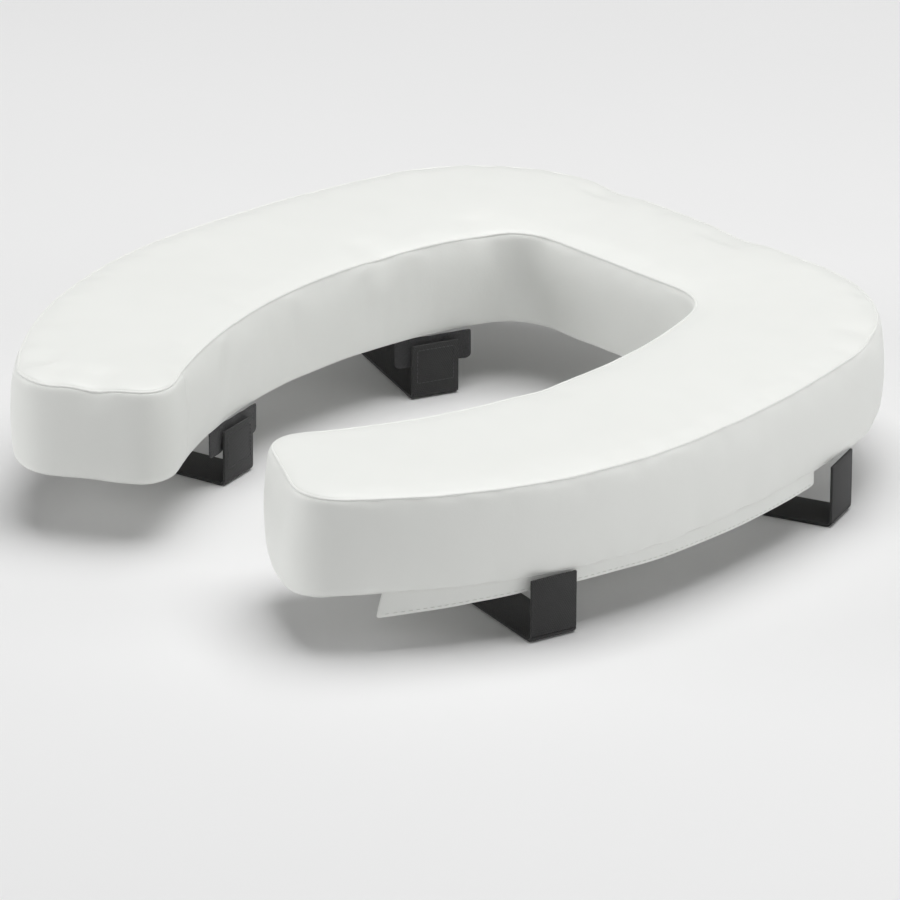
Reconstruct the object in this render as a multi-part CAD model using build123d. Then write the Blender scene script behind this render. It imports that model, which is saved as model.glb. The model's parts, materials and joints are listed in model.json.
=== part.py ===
from build123d import *

import os
from math import cos, radians, sin, sqrt

# Padded raised toilet seat: an open-front horseshoe cushion held on a toilet's own seat ring by four straps.
# X is to the right, Y to the back, Z up. The origin is midway along and across the cushion, on the plane of
# its underside, which rests on the ring. All sizes are in millimetres.

# cushion outline
pad_width = 362.0
pad_length = 381.0
pad_height = 51.0
widest_y = -14.5  # station of the greatest width
rear_side_radius = 536.0
front_side_radius = 244.0
back_corner_radius = 94.0
bridge_depth = 74.0  # closed end, from back face to opening
opening_width = 172.0
opening_widest_y = 6.5
opening_side_radius = 266.0
opening_corner_radius = 27.0
tip_slant = 31.0  # degrees between an arm's end face and X
tip_outer_radius = 25.0
tip_inner_radius = 18.0
top_edge_radius = 8.0
bottom_edge_radius = 5.0

# cover
cover_thickness = 1.0
seam_ridge_radius = 1.1
seam_lift = 0.03  # ridge clear of the rounded edge
side_strip_joint_setback = 10.4  # side strips' joint on an arm's inner wall, behind the rounded tip

# hem flaps
hem_drop = 8.0
hem_thickness = 1.0
hem_inset = 2.2
hem_front_setback = 53.0  # free end round the corner of the arm, from the side
hem_rear_setback = 104.5  # rear end, from the back face

# straps
strap_width = 25.4
strap_thickness = 1.5
strap_gap = 0.4  # strap to the cushion's side
strap_drop = 29.5  # cushion's underside to the ring's underside
strap_root_drop = 2.0  # sewn root, down to the first fold
strap_rise_top = 2.0  # inner end of the strap, below the underside
fold_gap = 0.3  # space at each fold line
front_strap_setback = 95.5  # strap's middle, from the front of the arms
front_strap_angle = -13.0  # outward direction of the strap, degrees from X
rear_strap_setback = 86.5  # strap's middle, from the back face
rear_strap_angle = 21.0

# hook-and-loop patches
loop_flap_width = 42.0
loop_flap_drop = 14.0
loop_flap_thickness = 1.2
hook_patch_height = 20.0
hook_patch_thickness = 0.8
patch_edge = 1.5  # strap left bare round the hook patch
pile_gap = 1.0  # standing room for the engaged pile

# thread
thread_width = 0.8
thread_proud = 0.4
stitch_margin = 2.0

half_width = pad_width / 2
back_y = pad_length / 2
front_y = -pad_length / 2
opening_back_y = back_y - bridge_depth
rear_centre = Vector(half_width - rear_side_radius, widest_y)
front_centre = Vector(half_width - front_side_radius, widest_y)
opening_centre = Vector(opening_width / 2 - opening_side_radius, opening_widest_y)
# the seams run along the middle of the rounded edges
edge_middle = 1 - cos(radians(45))
top_seam_inset = top_edge_radius * edge_middle - seam_lift
bottom_seam_inset = bottom_edge_radius * edge_middle - seam_lift
top_seam_z = pad_height - top_seam_inset


def rolled_in(centre, radius, corner_radius, y):
    """Centre, at station y, of a corner circle that touches a side circle from inside."""
    return Vector(centre.X + sqrt((radius - corner_radius) ** 2 - (y - centre.Y) ** 2), y)


def on_circle(centre, radius, towards):
    return centre + (towards - centre).normalized() * radius


def touching(start, direction, distance):
    """First point from start along a direction that is at a distance from the opening's side centre."""
    away = start - opening_centre
    along = direction.dot(away)
    return start + direction * (-along - sqrt(along**2 - away.dot(away) + distance**2))


def arc(centre, start, end):
    """Arc of less than half a turn about a centre."""
    radius = (start - centre).length
    return ThreePointArc(start, on_circle(centre, radius, (start + end) / 2), end)


# centres of the two circles that round an arm's tip
forward = Vector(-sin(radians(tip_slant)), -cos(radians(tip_slant)))
inward = Vector(-cos(radians(tip_slant)), sin(radians(tip_slant)))
tip_outer = rolled_in(front_centre, front_side_radius, tip_outer_radius, front_y + tip_outer_radius)
tip_inner_start = tip_outer + forward * (tip_outer_radius - tip_inner_radius)
tip_inner = touching(tip_inner_start, inward, opening_side_radius + tip_inner_radius)

side_strip_joint_y = on_circle(opening_centre, opening_side_radius, tip_inner).Y + side_strip_joint_setback
hem_front_x = half_width - hem_front_setback
hem_rear_y = back_y - hem_rear_setback
front_strap_y = front_y + front_strap_setback
rear_strap_y = back_y - rear_strap_setback


def outline_edges(inset):
    """Outer and inner edges of the right half of the outline, inset, parted where the side strips meet."""
    back_corner = rolled_in(rear_centre, rear_side_radius, back_corner_radius, back_y - back_corner_radius)
    opening_corner = rolled_in(
        opening_centre, opening_side_radius, opening_corner_radius, opening_back_y - opening_corner_radius
    )
    joint = rolled_in(opening_centre, opening_side_radius, 0, side_strip_joint_y)

    rear, front, side = rear_side_radius - inset, front_side_radius - inset, opening_side_radius + inset
    points = [
        Vector(back_corner.X, back_y - inset),
        on_circle(rear_centre, rear, back_corner),
        Vector(half_width - inset, widest_y),
        on_circle(front_centre, front, tip_outer),
        tip_outer + forward * (tip_outer_radius - inset),
        tip_inner + forward * (tip_inner_radius - inset),
        on_circle(opening_centre, side, tip_inner),
        on_circle(opening_centre, side, joint),
        on_circle(opening_centre, side, opening_corner),
        Vector(opening_corner.X, opening_back_y + inset),
    ]
    outer = [
        Line((0, back_y - inset), points[0]),
        arc(back_corner, points[0], points[1]),
        arc(rear_centre, points[1], points[2]),
        arc(front_centre, points[2], points[3]),
        arc(tip_outer, points[3], points[4]),
        Line(points[4], points[5]),
        arc(tip_inner, points[5], points[6]),
        arc(opening_centre, points[6], points[7]),
    ]
    inner = [
        arc(opening_centre, points[7], points[8]),
        arc(opening_corner, points[8], points[9]),
        Line(points[9], (0, opening_back_y + inset)),
    ]
    return outer, inner


def both_sides(edges):
    return Wire(edges + [edge.mirror(Plane.YZ) for edge in edges])


def side_x(y):
    """Half width of the cushion at a station along its side."""
    corner = rolled_in(rear_centre, rear_side_radius, back_corner_radius, back_y - back_corner_radius)
    if y > on_circle(rear_centre, rear_side_radius, corner).Y:
        centre, radius = corner, back_corner_radius
    elif y > widest_y:
        centre, radius = rear_centre, rear_side_radius
    else:
        centre, radius = front_centre, front_side_radius
    return rolled_in(centre, radius, 0, y).X


def slab(inset, low, high):
    """Horseshoe prism, inset from the outline, between two heights."""
    outer, inner = outline_edges(inset)
    return Pos(0, 0, low) * extrude(make_face(both_sides(outer + inner)), amount=high - low)


def rounded_slab(inset):
    """Cushion shape, inset all round, with rounded top and bottom edges."""
    solid = slab(inset, inset, pad_height - inset)
    solid = fillet(solid.edges().group_by(Axis.Z)[-1], top_edge_radius - inset)
    return fillet(solid.edges().group_by(Axis.Z)[0], bottom_edge_radius - inset)


def block(x_low, x_high, y_low, y_high, z_low, z_high):
    size = (x_high - x_low, y_high - y_low, z_high - z_low)
    return Pos((x_low + x_high) / 2, (y_low + y_high) / 2, (z_low + z_high) / 2) * Box(*size)


def level_block(z_low, z_high):
    """Block over the whole plan between two heights."""
    return block(-pad_width, pad_width, -pad_length, pad_length, z_low, z_high)


def opening_block():
    """Block that holds the opening's wall and leaves the outer wall and arm ends outside."""
    half = (pad_width + opening_width) / 4
    return block(-half, half, side_strip_joint_y, back_y - bridge_depth / 2, -pad_height, 2 * pad_height)


def seam_ridge(edges, height, tilt):
    """Raised ridge along a seam: half a round cord lying on the rounded edge, facing up or down by tilt."""
    path = Pos(0, 0, height) * both_sides(edges)
    section = Circle(seam_ridge_radius) & Pos(seam_ridge_radius, 0) * Rectangle(
        2 * seam_ridge_radius, 2 * seam_ridge_radius
    )
    # the ridge faces away from the cushion, which lies on one side of the path all along
    start = Vector((path @ 0).X, (path @ 0).Y)
    along = path % 0
    outward = Vector(along.Y, -along.X)
    if Face.is_inside(cushion_face, start + outward * top_edge_radius):
        outward = -outward
    facing = Vector(outward.X, outward.Y, tilt)
    return sweep(Plane(origin=path @ 0, x_dir=facing, z_dir=along) * section, path=path)


def strap_plane(y, angle):
    """Frame of a strap: X outward, Y along the cushion's side, origin on its inner face at the underside."""
    outward = Vector(cos(radians(angle)), sin(radians(angle)))
    return Plane(origin=(side_x(y) + strap_gap, y, 0), x_dir=(outward.X, outward.Y, 0), z_dir=(0, 0, 1))


def strap_reach(plane):
    """Distance from a strap's inner face to the opening's wall, along the strap."""
    start = Vector(plane.origin.X, plane.origin.Y)
    back = Vector(-plane.x_dir.X, -plane.x_dir.Y)
    return (touching(start, back, opening_side_radius) - start).length


def strap_pieces(y, angle, solids_in_the_way):
    """One strap with its root, three lengths, hook patch, loop flap and stitching, keyed by piece."""
    plane = strap_plane(y, angle)
    reach = strap_reach(plane)
    half = strap_width / 2
    low = -strap_drop - strap_thickness
    rise_face = -reach - pile_gap - hook_patch_thickness
    top = -strap_rise_top
    patch_half = half - patch_edge
    patch_top = top - patch_edge

    flap_low, flap_half = -loop_flap_drop, loop_flap_width / 2
    flap_face = -reach + loop_flap_thickness
    frame = block(
        rise_face - strap_thickness - thread_proud,
        rise_face - strap_thickness,
        -patch_half + thread_width,
        patch_half - thread_width,
        patch_top - hook_patch_height + thread_width,
        patch_top - thread_width,
    )
    frame -= block(
        rise_face - 2 * strap_thickness,
        rise_face,
        -patch_half + 2 * thread_width,
        patch_half - 2 * thread_width,
        patch_top - hook_patch_height + 2 * thread_width,
        patch_top - 2 * thread_width,
    )
    # the root and the loop flap reach in to the seams that hold them
    pieces = {
        "root": block(-2 * strap_gap, strap_thickness, -half, half, -strap_root_drop, bottom_seam_inset),
        "side_drop": block(
            0, strap_thickness, -half, half, -strap_drop, -strap_root_drop - fold_gap
        ),
        "under_run": block(rise_face, -fold_gap, -half, half, low, -strap_drop),
        "inner_rise": block(
            rise_face - strap_thickness, rise_face, -half, half, -strap_drop + fold_gap, top
        ),
        "hook_patch": block(
            rise_face, rise_face + hook_patch_thickness, -patch_half, patch_half,
            patch_top - hook_patch_height, patch_top,
        ),
        "loop_flap": block(-reach, flap_face, -flap_half, flap_half, flap_low, bottom_seam_inset),
        "hook_stitching": frame,
    }
    placed = {name: plane * solid for name, solid in pieces.items()}
    for name in ("root", "loop_flap"):
        for solid in solids_in_the_way:
            placed[name] -= solid
        placed[name] = placed[name].solids().sort_by(SortBy.VOLUME)[-1]
    return placed


def write(node, shape):
    export_step(shape, f"parts/{node}.step")


os.makedirs("parts", exist_ok=True)
cushion_face = make_face(both_sides(outline_edges(0)[0] + outline_edges(0)[1]))
cushion = rounded_slab(0)
foam = rounded_slab(cover_thickness)
shell = cushion - foam
opening_side = opening_block()
walls = shell & level_block(bottom_seam_inset, top_seam_z)

write("foam_core", foam)
write("cover_top_panel", shell & level_block(top_seam_z, 2 * pad_height))
write("cover_bottom_panel", shell & level_block(-pad_height, bottom_seam_inset))
write("cover_outer_side_strip", walls - opening_side)
write("cover_inner_side_strip", walls & opening_side)

top_outer, top_inner = outline_edges(top_seam_inset)
bottom_outer, bottom_inner = outline_edges(bottom_seam_inset)
bottom_seam = seam_ridge(bottom_outer, bottom_seam_inset, -1)
opening_seam = seam_ridge(bottom_inner, bottom_seam_inset, -1)
write("top_outer_seam", seam_ridge(top_outer, top_seam_z, 1))
write("top_inner_seam", seam_ridge(top_inner, top_seam_z, 1))
write("bottom_outer_seam", bottom_seam)
write("bottom_inner_seam", opening_seam)

# hem flaps hang from the bottom seam along each side, from the arm's end to the rear strap
hem_zone = block(hem_front_x, pad_width, -pad_length, hem_rear_y, -pad_height, pad_height)
hem = slab(hem_inset, -hem_drop, bottom_seam_inset) - slab(hem_inset + hem_thickness, -pad_height, pad_height)
hem = (hem & hem_zone) - cushion - bottom_seam
stitch_top = -hem_drop + stitch_margin + thread_width
hem_thread = slab(hem_inset - thread_proud, -hem_drop + stitch_margin, stitch_top)
hem_thread -= slab(hem_inset, -pad_height, pad_height)
hem_thread &= hem_zone
write("hem_flap_right", hem)
write("hem_flap_left", mirror(hem, about=Plane.YZ))
write("hem_stitching_right", hem_thread)
write("hem_stitching_left", mirror(hem_thread, about=Plane.YZ))

for place, y, angle in (
    ("front", front_strap_y, front_strap_angle),
    ("rear", rear_strap_y, rear_strap_angle),
):
    for piece, solid in strap_pieces(y, angle, [cushion, bottom_seam, opening_seam, hem]).items():
        write(f"{place}_right_strap_{piece}", solid)
        write(f"{place}_left_strap_{piece}", mirror(solid, about=Plane.YZ))
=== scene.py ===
import json
import math
import bpy
import bmesh
import numpy as np
from mathutils import Matrix, Vector, noise
from mathutils.geometry import delaunay_2d_cdt


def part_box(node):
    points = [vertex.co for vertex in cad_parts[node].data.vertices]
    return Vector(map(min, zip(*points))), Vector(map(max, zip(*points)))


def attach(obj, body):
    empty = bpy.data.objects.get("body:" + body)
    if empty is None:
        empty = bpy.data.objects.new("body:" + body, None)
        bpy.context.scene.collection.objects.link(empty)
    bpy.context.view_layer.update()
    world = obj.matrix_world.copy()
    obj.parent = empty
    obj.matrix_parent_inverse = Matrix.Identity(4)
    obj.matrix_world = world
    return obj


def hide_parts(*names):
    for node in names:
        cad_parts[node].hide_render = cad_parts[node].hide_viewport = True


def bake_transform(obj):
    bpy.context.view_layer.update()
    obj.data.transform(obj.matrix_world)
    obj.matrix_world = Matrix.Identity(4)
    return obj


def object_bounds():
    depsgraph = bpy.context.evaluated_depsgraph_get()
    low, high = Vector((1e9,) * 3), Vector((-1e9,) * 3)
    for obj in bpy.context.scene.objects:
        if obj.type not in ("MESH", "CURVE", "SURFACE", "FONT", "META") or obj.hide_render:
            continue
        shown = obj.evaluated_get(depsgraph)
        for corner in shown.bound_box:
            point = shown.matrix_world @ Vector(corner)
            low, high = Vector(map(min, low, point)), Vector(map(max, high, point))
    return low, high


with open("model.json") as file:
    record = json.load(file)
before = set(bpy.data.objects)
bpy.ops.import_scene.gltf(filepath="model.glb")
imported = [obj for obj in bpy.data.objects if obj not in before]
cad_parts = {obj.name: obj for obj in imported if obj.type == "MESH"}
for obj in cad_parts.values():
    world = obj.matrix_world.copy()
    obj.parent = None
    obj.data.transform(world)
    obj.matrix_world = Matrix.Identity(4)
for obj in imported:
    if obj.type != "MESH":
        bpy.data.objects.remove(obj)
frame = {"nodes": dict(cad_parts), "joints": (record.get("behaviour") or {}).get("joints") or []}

cadBox = [list(corner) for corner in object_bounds()]
joints = {joint["name"]: joint for joint in frame["joints"]}
padLow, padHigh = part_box("foam_core")
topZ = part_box("cover_top_panel")[1].z
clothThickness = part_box("cover_outer_side_strip")[1].x - padHigh.x
print("frame loaded", len(frame["nodes"]), "nodes")


# ---- shader helpers

class Value:
    def __init__(self, finish, socket):
        self.finish, self.socket = finish, socket

    def combine(self, operation, first, second):
        node = self.finish.add("ShaderNodeMath", {"operation": operation}, {0: first, 1: second})
        return Value(self.finish, node.outputs[0])

    def __add__(self, other): return self.combine("ADD", self, other)
    def __radd__(self, other): return self.combine("ADD", other, self)
    def __sub__(self, other): return self.combine("SUBTRACT", self, other)
    def __rsub__(self, other): return self.combine("SUBTRACT", other, self)
    def __mul__(self, other): return self.combine("MULTIPLY", self, other)
    def __rmul__(self, other): return self.combine("MULTIPLY", other, self)


class Finish:
    def __init__(self, name, **constants):
        self.material = bpy.data.materials.new(name)
        self.material.use_nodes = True
        self.tree = self.material.node_tree
        self.shader = self.tree.nodes["Principled BSDF"]
        for socket, value in constants.items():
            self.shader.inputs[socket.replace("_", " ")].default_value = value

    def add(self, kind, settings=None, inputs=None):
        node = self.tree.nodes.new(kind)
        for key, value in (settings or {}).items():
            if key == "stops":
                ramp = node.color_ramp
                while len(ramp.elements) < len(value):
                    ramp.elements.new(1.0)
                for element, (position, color) in zip(ramp.elements, value):
                    element.position, element.color = position, color
            else:
                setattr(node, key, value)
        for key, value in (inputs or {}).items():
            if isinstance(value, Value):
                value = value.socket
            if isinstance(value, bpy.types.NodeSocket):
                self.tree.links.new(value, node.inputs[key])
            else:
                node.inputs[key].default_value = value
        return node

    def place(self):
        return self.add("ShaderNodeTexCoord").outputs["Object"]

    def own(self, attribute):
        return self.add("ShaderNodeAttribute", {"attribute_name": attribute}).outputs["Vector"]

    def cloud(self, vector, scale, detail=3.0):
        inputs = {"Vector": vector, "Scale": scale, "Detail": detail}
        node = self.add("ShaderNodeTexNoise", {}, inputs)
        return Value(self, node.outputs[0])

    def cells(self, vector, scale, feature="F1"):
        node = self.add("ShaderNodeTexVoronoi", {"feature": feature}, {"Vector": vector, "Scale": scale})
        return Value(self, node.outputs["Distance"])

    def wave(self, socket, turn):
        node = self.add("ShaderNodeMath", {"operation": "SINE"}, {0: Value(self, socket) * turn})
        return Value(self, node.outputs[0])

    def ramp(self, value, stops):
        greys = [(position, (grey, grey, grey, 1)) for position, grey in stops]
        node = self.add("ShaderNodeValToRGB", {"stops": greys}, {"Fac": value})
        return Value(self, node.outputs["Color"])

    def tint(self, mask, first, second):
        node = self.add("ShaderNodeMix", {"data_type": "RGBA"}, {0: mask, 6: first, 7: second})
        return node.outputs[2]

    def relief(self, height, distance, strength=1.0, under=None):
        inputs = {"Height": height, "Distance": distance, "Strength": strength}
        if under is not None:
            inputs["Normal"] = under
        return self.add("ShaderNodeBump", {}, inputs).outputs["Normal"]

    def wire(self, **sockets):
        for name, value in sockets.items():
            if isinstance(value, Value):
                value = value.socket
            self.tree.links.new(value, self.shader.inputs[name.replace("_", " ")])
        return self.material


# ---- finishes

def coatedCloth(name, light, shade, grain=0.00004):
    f = Finish(name, Coat_Weight=0.06, Coat_Roughness=0.3)
    place = f.place()
    pebble = f.cells(place, 900.0, "SMOOTH_F1")
    fine = f.cloud(place, 2200.0, 2.0)
    broad = f.cloud(place, 14.0, 4.0)
    patch = f.cloud(place, 60.0, 3.0)
    color = f.tint(broad * 0.7 + patch * 0.3, shade, light)
    rough = 0.36 + patch * 0.12 + fine * 0.08
    soft = f.relief(f.cloud(place, 55.0, 2.0), 0.0006, 0.35)
    skin = f.relief(pebble + fine * 0.35, grain, 0.6, soft)
    return f.wire(Base_Color=color, Roughness=rough, Normal=skin)


def tapeCloth(name, light, dark, pitch=0.0011, depth=0.00022):
    # plain weave on the strap's own lengthwise and crosswise measure
    f = Finish(name, Sheen_Weight=0.12, Sheen_Roughness=0.5)
    own = f.own("weave")
    parts = f.add("ShaderNodeSeparateXYZ", {}, {0: own}).outputs
    turn = 2 * math.pi / pitch
    rib = f.wave(parts[0], turn) * f.wave(parts[1], turn * 0.55)
    fuzz = f.cloud(own, 2600.0, 3.0)
    broad = f.cloud(own, 90.0, 3.0)
    mask = rib * 0.22 + fuzz * 0.5 + broad * 0.35
    color = f.tint(mask, dark, light)
    rough = 0.78 + fuzz * 0.15
    normal = f.relief(rib * 0.5 + fuzz, depth, 0.8)
    return f.wire(Base_Color=color, Roughness=rough, Normal=normal)


def pileCloth(name, light, dark, density, depth):
    f = Finish(name, Sheen_Weight=0.2, Sheen_Roughness=0.6)
    place = f.place()
    tufts = f.cells(place, density)
    fuzz = f.cloud(place, density * 1.7, 3.0)
    color = f.tint(tufts * 0.8 + fuzz * 0.4, dark, light)
    normal = f.relief(fuzz - tufts, depth, 0.9)
    return f.wire(Base_Color=color, Roughness=0.85 + fuzz * 0.1, Normal=normal)


def sewingThread(name, light, dark):
    f = Finish(name, Sheen_Weight=0.1)
    place = f.place()
    ply = f.cloud(place, 4200.0, 2.0)
    return f.wire(
        Base_Color=f.tint(ply, dark, light),
        Roughness=0.5 + ply * 0.2,
        Normal=f.relief(ply, 0.0001, 0.7),
    )


def openFoam(name, light, dark):
    f = Finish(name)
    place = f.place()
    pores = f.ramp(f.cells(place, 700.0), [(0.15, 0.0), (0.55, 1.0)])
    broad = f.cloud(place, 20.0, 3.0)
    return f.wire(
        Base_Color=f.tint(pores * 0.6 + broad * 0.4, dark, light),
        Roughness=0.9 - pores * 0.08,
        Normal=f.relief(pores, 0.0005, 0.8),
    )


coverFinish = coatedCloth("cover_cloth", (0.905, 0.915, 0.885, 1), (0.87, 0.882, 0.85, 1))
seamFinish = coatedCloth("seam_cloth", (0.91, 0.915, 0.89, 1), (0.85, 0.86, 0.83, 1), 0.00002)
strapFinish = tapeCloth("strap_tape", (0.05, 0.05, 0.05, 1), (0.024, 0.024, 0.0245, 1))
loopFinish = pileCloth("loop_pile", (0.045, 0.045, 0.047, 1), (0.012, 0.012, 0.013, 1), 1900.0, 0.0004)
hookFinish = pileCloth("hook_pile", (0.05, 0.05, 0.052, 1), (0.018, 0.018, 0.019, 1), 1100.0, 0.0005)
paleThread = sewingThread("pale_thread", (0.84, 0.85, 0.82, 1), (0.68, 0.69, 0.66, 1))
darkThread = sewingThread("dark_thread", (0.085, 0.085, 0.088, 1), (0.03, 0.03, 0.031, 1))
# the underside panel is the same vinyl as the cover; its darker colour is painted shade for the side that
# faces the floor
undersideShadeFinish = coatedCloth("underside_shade_cloth", (0.74, 0.745, 0.72, 1), (0.68, 0.685, 0.66, 1), 0.00006)
foamFinish = openFoam("cushion_foam", (0.82, 0.76, 0.52, 1), (0.6, 0.53, 0.31, 1))
print("finishes made")


# ---- small helpers

def clear():
    if bpy.context.mode != "OBJECT":
        bpy.ops.object.mode_set(mode="OBJECT")
    bpy.ops.object.select_all(action="DESELECT")


def active(piece):
    clear()
    piece.select_set(True)
    bpy.context.view_layer.objects.active = piece
    return piece


def modify(piece, kind, **settings):
    active(piece)
    modifier = piece.modifiers.new(kind.lower(), kind)
    for key, value in settings.items():
        setattr(modifier, key, value)
    bpy.ops.object.modifier_apply(modifier=modifier.name)
    return piece


def settle(piece):
    active(piece)
    bpy.ops.object.transform_apply(location=True, rotation=True, scale=True)
    return piece


def dress(piece, finish, slot, *nodes, body=None, angle=35):
    piece.data.materials.clear()
    piece.data.materials.append(finish)
    active(piece)
    bpy.ops.object.shade_smooth_by_angle(angle=math.radians(angle))
    if nodes:
        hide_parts(*nodes)
    if body:
        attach(piece, body)
    return piece


def fromMesh(name, points, faces):
    mesh = bpy.data.meshes.new(name)
    mesh.from_pydata([tuple(p) for p in points], [], faces)
    mesh.update()
    piece = bpy.data.objects.new(name, mesh)
    bpy.context.scene.collection.objects.link(piece)
    return piece


def ropeThrough(name, points, radius, closed=False, sides=3):
    curve = bpy.data.curves.new(name, "CURVE")
    curve.dimensions = "3D"
    curve.bevel_depth, curve.bevel_resolution, curve.use_fill_caps = radius, sides, True
    spline = curve.splines.new("POLY")
    spline.points.add(len(points) - 1)
    for target, place in zip(spline.points, points):
        target.co = (*place, 1)
    spline.use_cyclic_u = closed
    piece = bpy.data.objects.new(name, curve)
    bpy.context.scene.collection.objects.link(piece)
    active(piece)
    bpy.ops.object.convert(target="MESH")
    return bpy.context.view_layer.objects.active


# ---- camera, floor and light

camera = {
    "azimuth": 44.977, "elevation": 23.658, "roll": 0.331,
    "distance": 4.602, "lens": 377.44, "aim": (0.027377, -0.02387, 0),
}


def addCamera(values):
    az, el, roll = (math.radians(values[key]) for key in ("azimuth", "elevation", "roll"))
    away = Vector((math.sin(az) * math.cos(el), -math.cos(az) * math.cos(el), math.sin(el)))
    right = (-away).cross(Vector((0, 0, 1))).normalized()
    up = right.cross(-away)
    side = right * math.cos(roll) + up * math.sin(roll)
    top = up * math.cos(roll) - right * math.sin(roll)
    place = Vector(values["aim"]) + away * values["distance"]
    bpy.ops.object.camera_add()
    viewer = bpy.context.object
    viewer.matrix_world = Matrix((
        (side.x, top.x, away.x, place.x),
        (side.y, top.y, away.y, place.y),
        (side.z, top.z, away.z, place.z),
        (0, 0, 0, 1),
    ))
    viewer.data.sensor_width, viewer.data.lens = 36, values["lens"]
    viewer.data.clip_start, viewer.data.clip_end = 0.1, 40
    bpy.context.scene.camera = viewer


light = {
    "world": 0.16,
    # place, energy and size of each soft lamp
    "overhead": ((0.1, 0.3, 2.4), 52.0, 2.0),
    "left": ((-1.9, -1.9, 0.75), 24.0, 1.3),
    "right": ((2.1, 0.9, 0.8), 11.0, 1.3),
}


def addStudio(values):
    lowest = cadBox[0][2]
    bpy.ops.mesh.primitive_plane_add(size=14, location=(0, 0, lowest - 0.0002))
    floor = bpy.context.object
    floor.name = "studio_floor"
    settle(floor)
    paper = Finish("studio_paper")
    grain = paper.cloud(paper.place(), 3.0)
    color = paper.tint(grain, (0.83, 0.83, 0.83, 1), (0.86, 0.86, 0.86, 1))
    floor.data.materials.append(paper.wire(Base_Color=color, Roughness=0.85 + grain * 0.1))
    for name in ("overhead", "left", "right"):
        place, energy, size = values[name]
        bpy.ops.object.light_add(type="AREA", location=place)
        lamp = bpy.context.object
        lamp.name = "studio_" + name
        lamp.data.energy, lamp.data.size = energy, size
        lamp.rotation_euler = (-Vector(place)).to_track_quat("-Z", "Y").to_euler()
    world = bpy.data.worlds.new("studio_world")
    world.use_nodes = True
    world.node_tree.nodes["Background"].inputs[0].default_value = (1, 1, 1, 1)
    world.node_tree.nodes["Background"].inputs[1].default_value = values["world"]
    bpy.context.scene.world = world
    bpy.context.scene.view_settings.view_transform = "Standard"


clear()
addCamera(camera)
addStudio(light)
print("camera and studio made")


# ---- the plan outline that cover, foam and hems all follow

plan = {"pitch": 0.0042, "jointY": -0.130, "innerX": 0.133, "bridge": 0.06}


def outlineOf(node, height):
    bm = bmesh.new()
    bm.from_mesh(frame["nodes"][node].data)
    bmesh.ops.remove_doubles(bm, verts=bm.verts, dist=1e-6)
    bmesh.ops.bisect_plane(
        bm, geom=bm.verts[:] + bm.edges[:] + bm.faces[:], plane_co=(0, 0, height), plane_no=(0, 0, 1),
        clear_inner=True, clear_outer=True,
    )
    start = max(bm.verts, key=lambda v: v.co.x)
    path, last = [start], None
    while True:
        nearby = [e.other_vert(path[-1]) for e in path[-1].link_edges]
        ahead = [v for v in nearby if v is not last and (v is not start or len(path) > 2)]
        if not ahead or ahead[0] is start:
            break
        last = path[-1]
        path.append(ahead[0])
    points = np.array([v.co[:2] for v in path])
    bm.free()
    return points


def turned(points):
    # outward normals of a closed loop that runs anticlockwise
    along = np.roll(points, -1, 0) - np.roll(points, 1, 0)
    along /= np.linalg.norm(along, axis=1)[:, None]
    return np.column_stack([along[:, 1], -along[:, 0]])


def stations(line):
    # distance of each point along a line
    return np.concatenate([[0], np.cumsum(np.linalg.norm(np.diff(line, axis=0), axis=1))])


def at(line, steps, places):
    return np.column_stack([np.interp(places, steps, line[:, 0]), np.interp(places, steps, line[:, 1])])


def resampled(points, pitch, extra=()):
    closed = np.vstack([points, points[:1]])
    steps = stations(closed)
    places = list(np.linspace(0, steps[-1], int(round(steps[-1] / pitch)), endpoint=False))
    for centre in extra:
        places = [p for p in places if abs(p - centre) > pitch * 0.45]
        places += [centre - pitch * 0.3, centre, centre + pitch * 0.3]
    return at(closed, steps, np.array(sorted(places)))


def stripJoints(points):
    # the places where the inner side strip meets the outer one
    closed = np.vstack([points, points[:1]])
    steps = stations(closed)
    found = []
    for i in range(len(points)):
        a, b = closed[i], closed[i + 1]
        if (a[1] - plan["jointY"]) * (b[1] - plan["jointY"]) < 0 and abs(a[0]) < plan["innerX"]:
            t = (plan["jointY"] - a[1]) / (b[1] - a[1])
            found.append(steps[i] + t * (steps[i + 1] - steps[i]))
    return found


rim = outlineOf("foam_core", (padLow.z + padHigh.z) / 2)
area = 0.5 * np.sum(rim[:, 0] * np.roll(rim[:, 1], -1) - np.roll(rim[:, 0], -1) * rim[:, 1])
if area < 0:
    rim = rim[::-1]
rim = resampled(rim, 0.001)
for _ in range(3):
    rim = (np.roll(rim, 1, 0) + rim * 2 + np.roll(rim, -1, 0)) / 4
rim = rim + turned(rim) * clothThickness
rim = resampled(rim, plan["pitch"], stripJoints(rim))
rimOut = turned(rim)
behindJoint = rim[:, 1] >= plan["jointY"] - 1e-5
offBackFace = rim[:, 1].max() - rim[:, 1] > plan["bridge"]
isInner = (np.abs(rim[:, 0]) < plan["innerX"]) & behindJoint & offBackFace
print("outline has", len(rim), "points", "inner", int(isInner.sum()))


# ---- the cushion: one shell shaped, blown up as cloth, then parted into panels along its seams

cushion = {
    "topRound": 0.0055, "bottomRound": 0.005, "wallBulge": 0.0016, "topCrown": 0.0010, "fill": 0.9,
    "valley": 0.00025, "grid": 0.0052, "wallSteps": 9,
    "slackTip": (0.068, -0.174), "slackReach": 0.026, "slackOut": 0.0024, "slackDrop": 0.0050,
    "finePucker": 0.00012, "broadPucker": 0.0003, "wallCrease": 0.0009, "stripSeamDip": 0.0007,
    "topGive": 0.0008, "wallGive": 0.0010, "bottomGive": 0.0004, "pressure": 4.0, "frames": 20,
}


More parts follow.
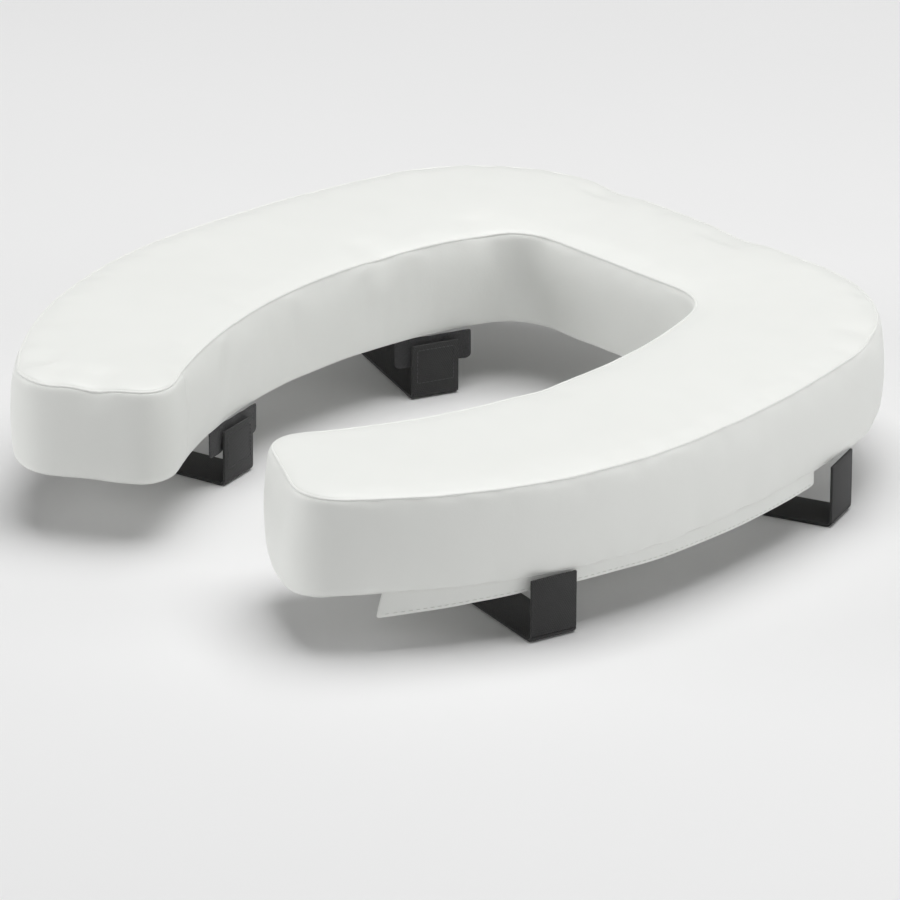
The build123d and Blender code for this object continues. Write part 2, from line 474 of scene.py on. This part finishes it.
def profile(values):
    # inset, height and kind of each ring, from the top face out, down the wall and under
    rings = []
    for inset in (0.0165, 0.0125, 0.0098):
        rings.append((inset, topZ, "top"))
    r = values["topRound"]
    for degrees in (0, 20, 34, 39.5):
        t = math.radians(degrees)
        rings.append((r - r * math.sin(t), topZ - r + r * math.cos(t), "top"))
    rings.append((r - r * math.sin(math.pi / 4), topZ - r + r * math.cos(math.pi / 4), "seam"))
    for degrees in (50.5, 56, 72, 90):
        t = math.radians(degrees)
        rings.append((r - r * math.sin(t), topZ - r + r * math.cos(t), "wall"))
    b = values["bottomRound"]
    for i in range(1, values["wallSteps"]):
        rings.append((0, (topZ - r) + (b - topZ + r) * i / values["wallSteps"], "wall"))
    for degrees in (90, 66, 54):
        t = math.radians(degrees)
        rings.append((b - b * math.sin(t), b - b * math.cos(t), "wall"))
    rings.append((b - b * math.sin(math.pi / 4), b - b * math.cos(math.pi / 4), "seam"))
    for degrees in (36, 22, 0):
        t = math.radians(degrees)
        rings.append((b - b * math.sin(t), b - b * math.cos(t), "bottom"))
    for inset in (0.0085, 0.0125, 0.0165):
        rings.append((inset, 0, "bottom"))
    return rings


def bump(place, centre, reach):
    return math.exp(-((place[0] - centre[0]) ** 2 + (place[1] - centre[1]) ** 2) / (2 * reach * reach))


# where the top seam is drawn down or pinched in: place, reach, drop, pull inwards
pulls = [
    ((-0.140, -0.168), 0.0065, 0.0016, 0.0004),
    ((-0.112, -0.178), 0.0070, 0.0023, 0.0006),
    ((-0.088, -0.180), 0.0060, 0.0030, 0.0006),
    ((-0.064, -0.176), 0.0060, 0.0022, 0.0005),
    ((-0.050, -0.155), 0.0045, 0.0014, 0.0010),
    ((-0.0787, 0.0399), 0.0060, 0.0018, 0.0016),
    ((-0.0742, 0.1008), 0.0060, 0.0018, 0.0016),
    ((-0.064, 0.189), 0.0090, 0.0017, 0.0006),
    ((0.021, 0.190), 0.0100, 0.0016, 0.0005),
    ((0.1513, 0.1418), 0.0060, 0.0010, 0.0016),
    ((0.171, 0.030), 0.0110, 0.0006, 0.0003),
    ((0.166, -0.090), 0.0120, 0.0005, 0.0003),
    ((0.079, -0.020), 0.0080, 0.0008, 0.0006),
]


def shapedRing(inset, height, kind, values):
    ring = np.empty((len(rim), 3))
    mid = topZ / 2
    for i, (p, n) in enumerate(zip(rim, rimOut)):
        out, z = -inset, height
        if kind == "wall":
            t = min(max((height - 0.003) / (topZ - 0.007), 0), 1)
            uneven = 1 + 0.22 * noise.noise((p[0] * 22, p[1] * 22, z * 25))
            out += values["wallBulge"] * math.sin(math.pi * t) * uneven
        near = math.exp(-((height - (topZ - 0.0023)) / 0.006) ** 2) if height > mid else 0
        for centre, reach, drop, pull in pulls:
            weight = bump(p, centre, reach) * near
            z -= drop * weight
            out -= pull * weight
        z += noise.noise((p[0] * 150, p[1] * 150, 3.1)) * values["finePucker"] * near
        z += noise.noise((p[0] * 40, p[1] * 40, 7.7)) * values["broadPucker"] * near
        if kind == "wall" and not isInner[i]:
            crease = noise.noise((p[0] * 62, p[1] * 62, height * 26))
            out += crease * values["wallCrease"] * (1 - height / topZ)
        # the near arm's inner tip is slack and spreads over the ring
        slack = bump(p, values["slackTip"], values["slackReach"]) * max(0.0, 1 - height / (topZ * 0.8))
        out += values["slackOut"] * slack
        z -= values["slackDrop"] * slack
        if height < 0.0025:
            z += noise.noise((p[0] * 60, p[1] * 60, 9.3)) * 0.0004
        ring[i] = (p[0] + n[0] * out, p[1] + n[1] * out, z)
    return ring


def flatCap(edge, values, upward):
    # fills the flat middle of the top or the underside with even cells
    low, high = edge.min(axis=0), edge.max(axis=0)
    step = values["grid"]
    inside = []
    for gx in np.arange(low[0] + step, high[0], step):
        for k, gy in enumerate(np.arange(low[1] + step, high[1], step)):
            x = gx + (step / 2 if k % 2 else 0)
            a, b = edge, np.roll(edge, -1, 0)
            crossing = (b[:, 0] - a[:, 0]) * (gy - a[:, 1]) / (b[:, 1] - a[:, 1] + 1e-12) + a[:, 0]
            hits = ((a[:, 1] > gy) != (b[:, 1] > gy)) & (x < crossing)
            if hits.sum() % 2 and np.min(np.hypot(edge[:, 0] - x, edge[:, 1] - gy)) > step * 0.7:
                inside.append((x, gy))
    points = [Vector(p) for p in edge] + [Vector(p) for p in inside]
    edges = [(i, (i + 1) % len(edge)) for i in range(len(edge))]
    _, _, faces, origin, _, _ = delaunay_2d_cdt(points, edges, [], 1, 1e-7)
    back = [o[0] if o else None for o in origin]
    faces = [[back[i] for i in f] for f in faces]
    faces = [f if upward else f[::-1] for f in faces if None not in f]
    return np.array(inside), faces


def buildShell(values):
    rings = profile(values)
    count = len(rim)
    seamAt = [i for i, ring in enumerate(rings) if ring[2] == "seam"]
    faces, tags, shaped = [], [], []
    for index, (inset, height, kind) in enumerate(rings):
        ring = shapedRing(inset, height, kind, values)
        if any(abs(index - seam) == 1 for seam in seamAt):  # the cloth dips on each side of a seam
            up = 1 if height > topZ / 2 else -1
            wave = np.array([1 + 0.5 * noise.noise((p[0] * 110, p[1] * 110, index)) for p in rim])
            dip = values["valley"] * math.sqrt(0.5) * wave
            ring[:, :2] -= rimOut * dip[:, None]
            ring[:, 2] -= up * dip
        if kind == "wall":
            for i in stripColumns:
                ring[i, :2] -= rimOut[i] * values["stripSeamDip"]
        shaped.append(ring)
    points = np.vstack(shaped)
    for index in range(len(rings) - 1):
        for i in range(count):
            j = (i + 1) % count
            near, far = index * count, (index + 1) * count
            faces.append((near + i, far + i, far + j, near + j))
            if index < seamAt[0]:
                tags.append(0)
            elif index < seamAt[1]:
                tags.append(2 if isInner[i] and isInner[j] else 1)
            else:
                tags.append(3)
    for ring, upward, tag in ((0, True, 0), (len(rings) - 1, False, 3)):
        inside, cap = flatCap(shaped[ring][:, :2], values, upward)
        base = len(points)
        height = np.full(len(inside), rings[ring][1])
        points = np.vstack([points, np.column_stack([inside, height])])
        for f in cap:
            faces.append([ring * count + i if i < count else base + i - count for i in f])
            tags.append(tag)
    for p in points:
        if p[2] < 1e-6:
            flat = -values["slackDrop"] * bump(p, values["slackTip"], values["slackReach"])
            p[2] = min(p[2], flat)
    # crown the top a little towards the middle of each arm, with slow unevenness
    for p in points:
        if p[2] > topZ - 0.004:
            d = np.min(np.hypot(rim[:, 0] - p[0], rim[:, 1] - p[1]))
            rise = values["topCrown"] * (1 - math.exp(-max(d - 0.004, 0) / 0.022))
            p[2] += rise + noise.noise((p[0] * 16, p[1] * 16, 1.2)) * 0.0006 * min(d / 0.02, 1)
    shell = fromMesh("cushion_shell", points, faces)
    for _ in range(4):
        shell.data.materials.append(coverFinish)
    shell.data.polygons.foreach_set("material_index", tags)
    held = shell.vertex_groups.new(name="held")
    held.add([s * count + i for s in seamAt for i in range(count)], 1.0, "REPLACE")
    return shell


edgeOfInner = isInner & ~(np.roll(isInner, 1) & np.roll(isInner, -1))
stripColumns = np.flatnonzero(edgeOfInner)
shell = buildShell(cushion)
print("shell has", len(shell.data.vertices), "points")


def blowUp(piece, values):
    before = np.empty(len(piece.data.vertices) * 3)
    piece.data.vertices.foreach_get("co", before)
    before = before.reshape(-1, 3)
    normals = np.empty(len(before) * 3)
    piece.data.vertices.foreach_get("normal", normals)
    normals = normals.reshape(-1, 3)
    cloth = piece.modifiers.new("cloth", "CLOTH")
    setting = cloth.settings
    setting.quality, setting.mass = 5, 0.3
    setting.tension_stiffness = setting.compression_stiffness = 12
    setting.shear_stiffness, setting.bending_stiffness = 6, 0.6
    setting.use_pressure, setting.uniform_pressure_force = True, values["pressure"]
    setting.effector_weights.gravity = 0
    setting.shrink_min = -0.003
    setting.vertex_group_mass = "held"
    cloth.collision_settings.use_collision = False
    cloth.point_cache.frame_start, cloth.point_cache.frame_end = 1, values["frames"]
    for frameNumber in range(1, values["frames"] + 1):
        bpy.context.scene.frame_set(frameNumber)
    seen = piece.evaluated_get(bpy.context.evaluated_depsgraph_get())
    after = np.empty(len(before) * 3)
    seen.data.vertices.foreach_get("co", after)
    after = after.reshape(-1, 3)
    piece.modifiers.remove(cloth)
    bpy.context.scene.frame_set(1)
    moved = after - before
    give = np.full(len(before), values["wallGive"])
    give[before[:, 2] > topZ - 0.003] = values["topGive"]
    give[before[:, 2] < 0.003] = values["bottomGive"]
    length = np.linalg.norm(moved, axis=1)
    scale = give * np.tanh(length / give) / np.maximum(length, 1e-9)
    print("cloth moved", round(float(np.median(length)) * 1000, 2), "mm before its limit")
    after = before + moved * scale[:, None]
    piece.data.vertices.foreach_set("co", after.ravel())
    piece.data.update()


blowUp(shell, cushion)
modify(shell, "SUBSURF", levels=1, render_levels=1)
print("cushion shaped", len(shell.data.polygons), "faces")


def panelOf(name, tag):
    piece = bpy.data.objects.new(name, shell.data.copy())
    bpy.context.scene.collection.objects.link(piece)
    bm = bmesh.new()
    bm.from_mesh(piece.data)
    bmesh.ops.delete(bm, geom=[f for f in bm.faces if f.material_index != tag], context="FACES")
    for f in bm.faces:
        f.material_index = 0
    bm.to_mesh(piece.data)
    bm.free()
    piece.vertex_groups.clear()
    return modify(piece, "SOLIDIFY", thickness=clothThickness * 0.9, offset=-1)


def seamPath(first, second):
    bm = bmesh.new()
    bm.from_mesh(shell.data)
    linked = {}
    for e in bm.edges:
        if len(e.link_faces) == 2 and {f.material_index for f in e.link_faces} == {first, second}:
            a, b = e.verts
            linked.setdefault(a.index, []).append(b.index)
            linked.setdefault(b.index, []).append(a.index)
    places = {i: bm.verts[i].co.copy() for i in linked} if not bm.verts.ensure_lookup_table() else {}
    outward = {i: bm.verts[i].normal.copy() for i in linked}
    bm.free()
    paths, used = [], set()
    while len(used) < len(linked):
        loose = [i for i in linked if i not in used]
        ends = [i for i in loose if len(linked[i]) == 1]
        here, path = (ends or loose)[0], []
        while here is not None:
            path.append(here)
            used.add(here)
            onward = [i for i in linked[here] if i not in used]
            here = onward[0] if onward else None
        paths.append([(places[i], outward[i]) for i in path])
    return paths


ridges = {"radius": 0.00075, "sunk": 0.0003, "joint": 0.00045}


def addRidge(name, first, second, radius, replaced):
    pieces = []
    for path in seamPath(first, second):
        ends = path[::2] if len(path) % 2 else path[::2] + path[-1:]
        points = [place - outward * ridges["sunk"] for place, outward in ends]
        pieces.append(ropeThrough(name, points, radius))
    active(pieces[0])
    for piece in pieces:
        piece.select_set(True)
    if len(pieces) > 1:
        bpy.ops.object.join()
    piece = bpy.context.view_layer.objects.active
    piece.name = name
    return dress(piece, seamFinish, "cover", *replaced, body="cushion")


for name, tag, node, finish, slot in (
    ("cushion_top", 0, "cover_top_panel", coverFinish, "cover"),
    ("cushion_outer_wall", 1, "cover_outer_side_strip", coverFinish, "cover"),
    ("cushion_inner_wall", 2, "cover_inner_side_strip", coverFinish, "cover"),
    # the underside panel takes the darker copy of the cover vinyl, which is painted shade
    ("cushion_underside", 3, "cover_bottom_panel", undersideShadeFinish, "cover_backing"),
):
    piece = panelOf(name, tag)
    dress(piece, finish, slot, node, body="cushion", angle=60)
addRidge("top_seam_outer", 0, 1, ridges["radius"], ["top_outer_seam"])
addRidge("top_seam_inner", 0, 2, ridges["radius"], ["top_inner_seam"])
addRidge("bottom_seam_outer", 3, 1, ridges["radius"] * 0.8, ["bottom_outer_seam"])
addRidge("bottom_seam_inner", 3, 2, ridges["radius"] * 0.8, ["bottom_inner_seam"])
addRidge("side_strip_seams", 1, 2, ridges["joint"], [])

foam = shell
foam.name = "foam_pad"
foam.vertex_groups.clear()
modify(foam, "SMOOTH", factor=0.5, iterations=5)
modify(foam, "DISPLACE", strength=-clothThickness * 2.2, mid_level=0)
foam.data.materials.clear()
for face in foam.data.polygons:
    face.material_index = 0
dress(foam, foamFinish, "foam", "foam_core", body="cushion", angle=60)
print("cushion parted into panels")


# ---- hem flaps: thin cloth hanging under the bottom seam on each side

hem = {
    "face": 0.0021, "thickness": 0.0009, "pitch": 0.003, "wave": 0.0007, "flare": 0.0016,
    "cornerRadius": 0.005, "past": 0.0020, "slant": 0.0030, "top": 0.0012, "rows": 6,
    # how far the flap hangs below the underside, by station from front to back
    "drops": [
        (-0.184, 0.0150), (-0.174, 0.0128), (-0.150, 0.0104), (-0.125, 0.0080), (-0.100, 0.0058),
        (-0.060, 0.0062), (-0.020, 0.0068), (0.020, 0.0075), (0.086, 0.0070),
    ],
    "stitch": 0.0017, "stitchPitch": 0.0034, "stitchLength": 0.0023, "stitchRadius": 0.00024,
}


def stitchModel():
    clear()
    bpy.ops.mesh.primitive_uv_sphere_add(segments=8, ring_count=6, radius=1)
    return bpy.context.object


def layStitches(name, places, length, radius, finish, slot, body, *nodes):
    # one stitch is modelled, and every other is a copy of it; places are (middle, direction)
    first = stitchModel()
    copies = []
    for middle, along in places:
        stitch = bpy.data.objects.new("stitch", first.data.copy())
        bpy.context.scene.collection.objects.link(stitch)
        turn = Vector(along).to_track_quat("X", "Z").to_matrix().to_4x4()
        size = Matrix.Diagonal((length / 2, radius, radius, 1))
        stitch.data.transform(Matrix.Translation(middle) @ turn @ size)
        copies.append(stitch)
    bpy.data.objects.remove(first)
    active(copies[0])
    for stitch in copies:
        stitch.select_set(True)
    bpy.ops.object.join()
    piece = bpy.context.view_layer.objects.active
    piece.name = name
    return dress(piece, finish, slot, *nodes, body=body, angle=60)


def addHem(side, sign, values):
    low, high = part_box("hem_flap_" + side)
    frontX = (low.x if sign > 0 else high.x) * sign - values["past"]
    chosen = (rim[:, 0] * sign > frontX) & (rim[:, 1] < high.y + values["past"])
    line, normals = rim[chosen], rimOut[chosen]
    order = np.argsort(np.arctan2(line[:, 1], line[:, 0] * sign))
    line, normals = line[order] - normals[order] * values["face"], normals[order]
    steps = stations(line)
    places = np.arange(0, steps[-1], values["pitch"])
    x, y = at(line, steps, places).T
    nx, ny = at(normals, steps, places).T
    sideY, drops = zip(*values["drops"])
    points, faces, cut = [], [], 0.0
    rows, top = values["rows"], values["top"]
    for i, place in enumerate(places):
        drop = float(np.interp(y[i], sideY, drops)) + noise.noise((place * 45, sign, 2.0)) * 0.0003
        fromEnd = steps[-1] - place
        if fromEnd < values["cornerRadius"]:
            r = values["cornerRadius"]
            drop -= r - math.sqrt(max(r * r - (r - fromEnd) ** 2, 0)) * 0.98
        drop = max(drop, top)
        cut += (drop + top) * values["pitch"]
        for row in range(rows + 1):
            t = row / rows
            z = top - (drop + top) * t
            sway = values["wave"] * t * (1.6 if place < 0.05 else 1.0)
            lean = noise.noise((place * 30, t * 0.8, 5.0 + sign)) * sway
            lean += values["flare"] * t * t * math.exp(-place / 0.012)
            back = values["slant"] * t * math.exp(-place / 0.008)
            points.append((x[i] + nx[i] * lean + ny[i] * back, y[i] + ny[i] * lean - nx[i] * back, z))
    for i in range(len(places) - 1):
        for row in range(rows):
            a = i * (rows + 1) + row
            b = a + rows + 1
            faces.append((a, b, b + 1, a + 1) if sign < 0 else (a, a + 1, b + 1, b))
    flap = fromMesh("hem_cloth_" + side, points, faces)
    modify(flap, "SOLIDIFY", thickness=values["thickness"], offset=-1)
    modify(flap, "SUBSURF", levels=1, render_levels=1)
    dress(flap, coverFinish, "cover", "hem_flap_" + side, body="cushion", angle=50)
    marks = []
    for station in np.arange(0.004, steps[-1] - 0.006, values["stitchPitch"]):
        i = min(int(station / values["pitch"]), len(places) - 2)
        drop = float(np.interp(y[i], sideY, drops))
        t = (station - places[i]) / values["pitch"]
        row = (drop + top - values["stitch"]) / (drop + top) * rows
        first = i * (rows + 1) + int(row)
        a = Vector(points[first]).lerp(Vector(points[first + 1]), row % 1)
        b = Vector(points[first + rows + 1]).lerp(Vector(points[first + rows + 2]), row % 1)
        marks.append((a.lerp(b, t) + Vector((nx[i], ny[i], 0)) * 0.0001, (b - a).normalized()))
    layStitches(
        "hem_stitches_" + side, marks, values["stitchLength"], values["stitchRadius"], paleThread, "thread",
        "cushion", "hem_stitching_" + side,
    )
    flat = (max(drops) + top, float(steps[-1]))
    print("hem", side, "length", round(float(steps[-1]), 4), "cut area", round(cut, 6))


addHem("right", 1, hem)
addHem("left", -1, hem)


# ---- straps: flat tape folded under the ring, hook patch on the end, loop flap on the cushion

strap = {"width": 0.0254, "thickness": 0.0015, "fold": 0.0022, "top": 0.0012, "edge": 0.00035}
hookStitch = {"inset": 0.0028, "across": 9, "upright": 8, "length": 0.0018, "radius": 0.00026}
loopPad = {
    "width": 0.042, "thickness": 0.0011, "top": 0.0011, "behindFold": 0.0024, "columns": 22, "rows": 8,
    "sway": 0.00045, "ripple": 0.0002, "cornerTrim": 0.0016,
}


def tape(name, start, across, moves, values):
    # a plane as wide as the tape is extruded along its run, then given its thickness and soft edges
    clear()
    bpy.ops.mesh.primitive_plane_add(size=1)
    piece = bpy.context.object
    piece.name = name
    half = across * (values["width"] / 2)
    first = Vector(moves[0])
    mesh = piece.data
    corners = [start - half, start + half, start - half + first, start + half + first]
    for vertex, place in zip(mesh.vertices, corners):
        vertex.co = place
    end = start + first
    path = [start, end]
    for move in moves[1:]:
        bpy.ops.object.mode_set(mode="EDIT")
        bpy.ops.mesh.select_mode(type="VERT")
        bpy.ops.mesh.select_all(action="DESELECT")
        bpy.ops.object.mode_set(mode="OBJECT")
        for vertex in mesh.vertices:
            offset = vertex.co - end
            vertex.select = (offset - across * offset.dot(across)).length < 1e-6
        bpy.ops.object.mode_set(mode="EDIT")
        bpy.ops.mesh.select_mode(type="EDGE")
        bpy.ops.mesh.extrude_region_move(TRANSFORM_OT_translate={"value": tuple(move)})
        bpy.ops.object.mode_set(mode="OBJECT")
        end = end + Vector(move)
        path.append(end)
    bpy.ops.object.mode_set(mode="EDIT")
    bpy.ops.mesh.select_all(action="SELECT")
    bpy.ops.mesh.normals_make_consistent(inside=False)
    bpy.ops.object.mode_set(mode="OBJECT")
    return piece, path


def measured(piece, path, across, centre):
    # the tape's own crosswise and lengthwise measure, for its weave
    weave = piece.data.attributes.new("weave", "FLOAT_VECTOR", "POINT")
    lengths = [0.0]
    for a, b in zip(path, path[1:]):
        lengths.append(lengths[-1] + (b - a).length)
    values = []
    for vertex in piece.data.vertices:
        best = None
        for i, (a, b) in enumerate(zip(path, path[1:])):
            run = b - a
            t = min(max((vertex.co - a).dot(run) / run.length_squared, 0), 1)
            flat = (vertex.co - a - run * t)
            flat -= across * flat.dot(across)
            if best is None or flat.length < best[0]:
                best = (flat.length, lengths[i] + run.length * t)
        values += [(vertex.co - centre).dot(across), best[1], 0.0]
    weave.data.foreach_set("vector", values)


def bendPath(out, down, radius, steps=5):
    # moves that turn from one direction to another round a quarter circle
    moves = []
    last = Vector((0, 0, 0))
    for i in range(1, steps + 1):
        t = math.pi / 2 * i / steps
        place = out * (radius * math.sin(t)) + down * (radius * (1 - math.cos(t)))
        moves.append(place - last)
        last = place
    return moves


def split(vector, count):
    return [vector / count] * count


def addStrap(place, side, values):
    title = place + "_" + side + "_strap"
    folds = [joints[title + "_" + name] for name in ("side_fold", "lower_fold", "inner_fold")]
    top, low, inner = (Vector(fold["pos_m"]) for fold in folds)
    axis = Vector(folds[0]["axis"])
    out = Vector((-axis.y, axis.x, 0))
    down = Vector((0, 0, -1))
    half = values["thickness"] / 2
    face = top - out * half
    start = Vector((face.x, face.y, values["top"]))
    r = values["fold"]
    cornerZ = low.z - half
    bandZ = cornerZ + r
    drop = Vector((0, 0, bandZ - start.z))
    upper, upperPath = tape(title + "_side", start, axis, split(drop, 12), values)
    bendStart = start + drop
    inside = -out
    reach = (low - inner).length - r + half - r + half
    under = bendPath(down, inside, r) + split(inside * reach, 14)
    lower, lowerPath = tape(title + "_under", bendStart, axis, under, values)
    bendTwo = lowerPath[-1]
    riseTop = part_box(title + "_inner_rise")[1].z
    rise = bendPath(inside, -down, r) + split(Vector((0, 0, riseTop - bandZ)), 6)
    tail, tailPath = tape(title + "_tail", bendTwo, axis, rise, values)
    for piece, path in ((upper, upperPath), (lower, lowerPath), (tail, tailPath)):
        modify(piece, "SOLIDIFY", thickness=values["thickness"], offset=0, use_even_offset=True)
        soft = {"limit_method": "ANGLE", "angle_limit": math.radians(50)}
        modify(piece, "BEVEL", width=values["edge"], segments=2, **soft)
        measured(piece, path, axis, face)
        piece.data.materials.clear()
    dress(upper, strapFinish, "webbing", title + "_root", title + "_side_drop")
    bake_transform(upper)
    dress(lower, strapFinish, "webbing", title + "_under_run")
    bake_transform(lower)
    dress(tail, strapFinish, "webbing", title + "_inner_rise")
    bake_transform(tail)

    patch = frame["nodes"][title + "_hook_patch"]
    patch.data.materials.clear()
    patch.data.materials.append(hookFinish)
    addHookStitches(title, inner - out * (values["thickness"] + 0.0001), axis, hookStitch)
    addLoopPad(place, title, inner, out, axis, loopPad)


def addHookStitches(title, face, axis, values):
    # a rectangle of stitches that holds the hook patch to the end of the strap
    node = title + "_hook_stitching"
    low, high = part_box(node)
    bottom, top = low.z + 0.0004, high.z - 0.0004
    halfWide = strap["width"] / 2 - values["inset"]
    marks = []
    for i in range(values["across"]):
        t = halfWide * ((2 * i + 1) / values["across"] - 1)
        for z in (bottom, top):
            marks.append((Vector((face.x, face.y, z)) + axis * t, axis))
    for i in range(values["upright"]):
        z = bottom + (top - bottom) * (i + 0.5) / values["upright"]
        for t in (-halfWide, halfWide):
            marks.append((Vector((face.x, face.y, z)) + axis * t, (0, 0, 1)))
    layStitches(
        title + "_tail_stitches", marks, values["length"], values["radius"], darkThread, "thread_dark",
        title + "_end", node,
    )


def addLoopPad(place, title, inner, out, axis, values):
    # sewn into the seam above the end of the strap, hanging in a soft wave
    node = title + "_loop_flap"
    top, bottom = values["top"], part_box(node)[0].z
    back = inner + out * values["behindFold"]
    columns, rows = values["columns"], values["rows"]
    points, faces = [], []
    for column in range(columns + 1):
        for row in range(rows + 1):
            u, t = column / columns, row / rows
            sway = values["sway"] * math.sin(u * 9.4 + len(title)) * t + values["ripple"] * math.sin(u * 23)
            z = top + (bottom - top) * t * (1 - 0.035 * math.sin(u * 7 + len(place)))
            if t > 0.85:
                z += values["cornerTrim"] * max(0.0, abs(u - 0.5) * 2 - 0.93) / 0.07
            points.append(Vector((back.x, back.y, z)) + axis * (values["width"] * (u - 0.5)) + out * sway)
    for column in range(columns):
        for row in range(rows):
            a = column * (rows + 1) + row
            b = a + rows + 1
            faces.append((a, a + 1, b + 1, b))
    pad = fromMesh(title + "_loop_pad", points, faces)
    modify(pad, "SOLIDIFY", thickness=values["thickness"], offset=0)
    modify(pad, "SUBSURF", levels=1, render_levels=1)
    dress(pad, loopFinish, "loop", node, body="cushion")


for place in ("front", "rear"):
    for side in ("right", "left"):
        addStrap(place, side, strap)
print("straps made")
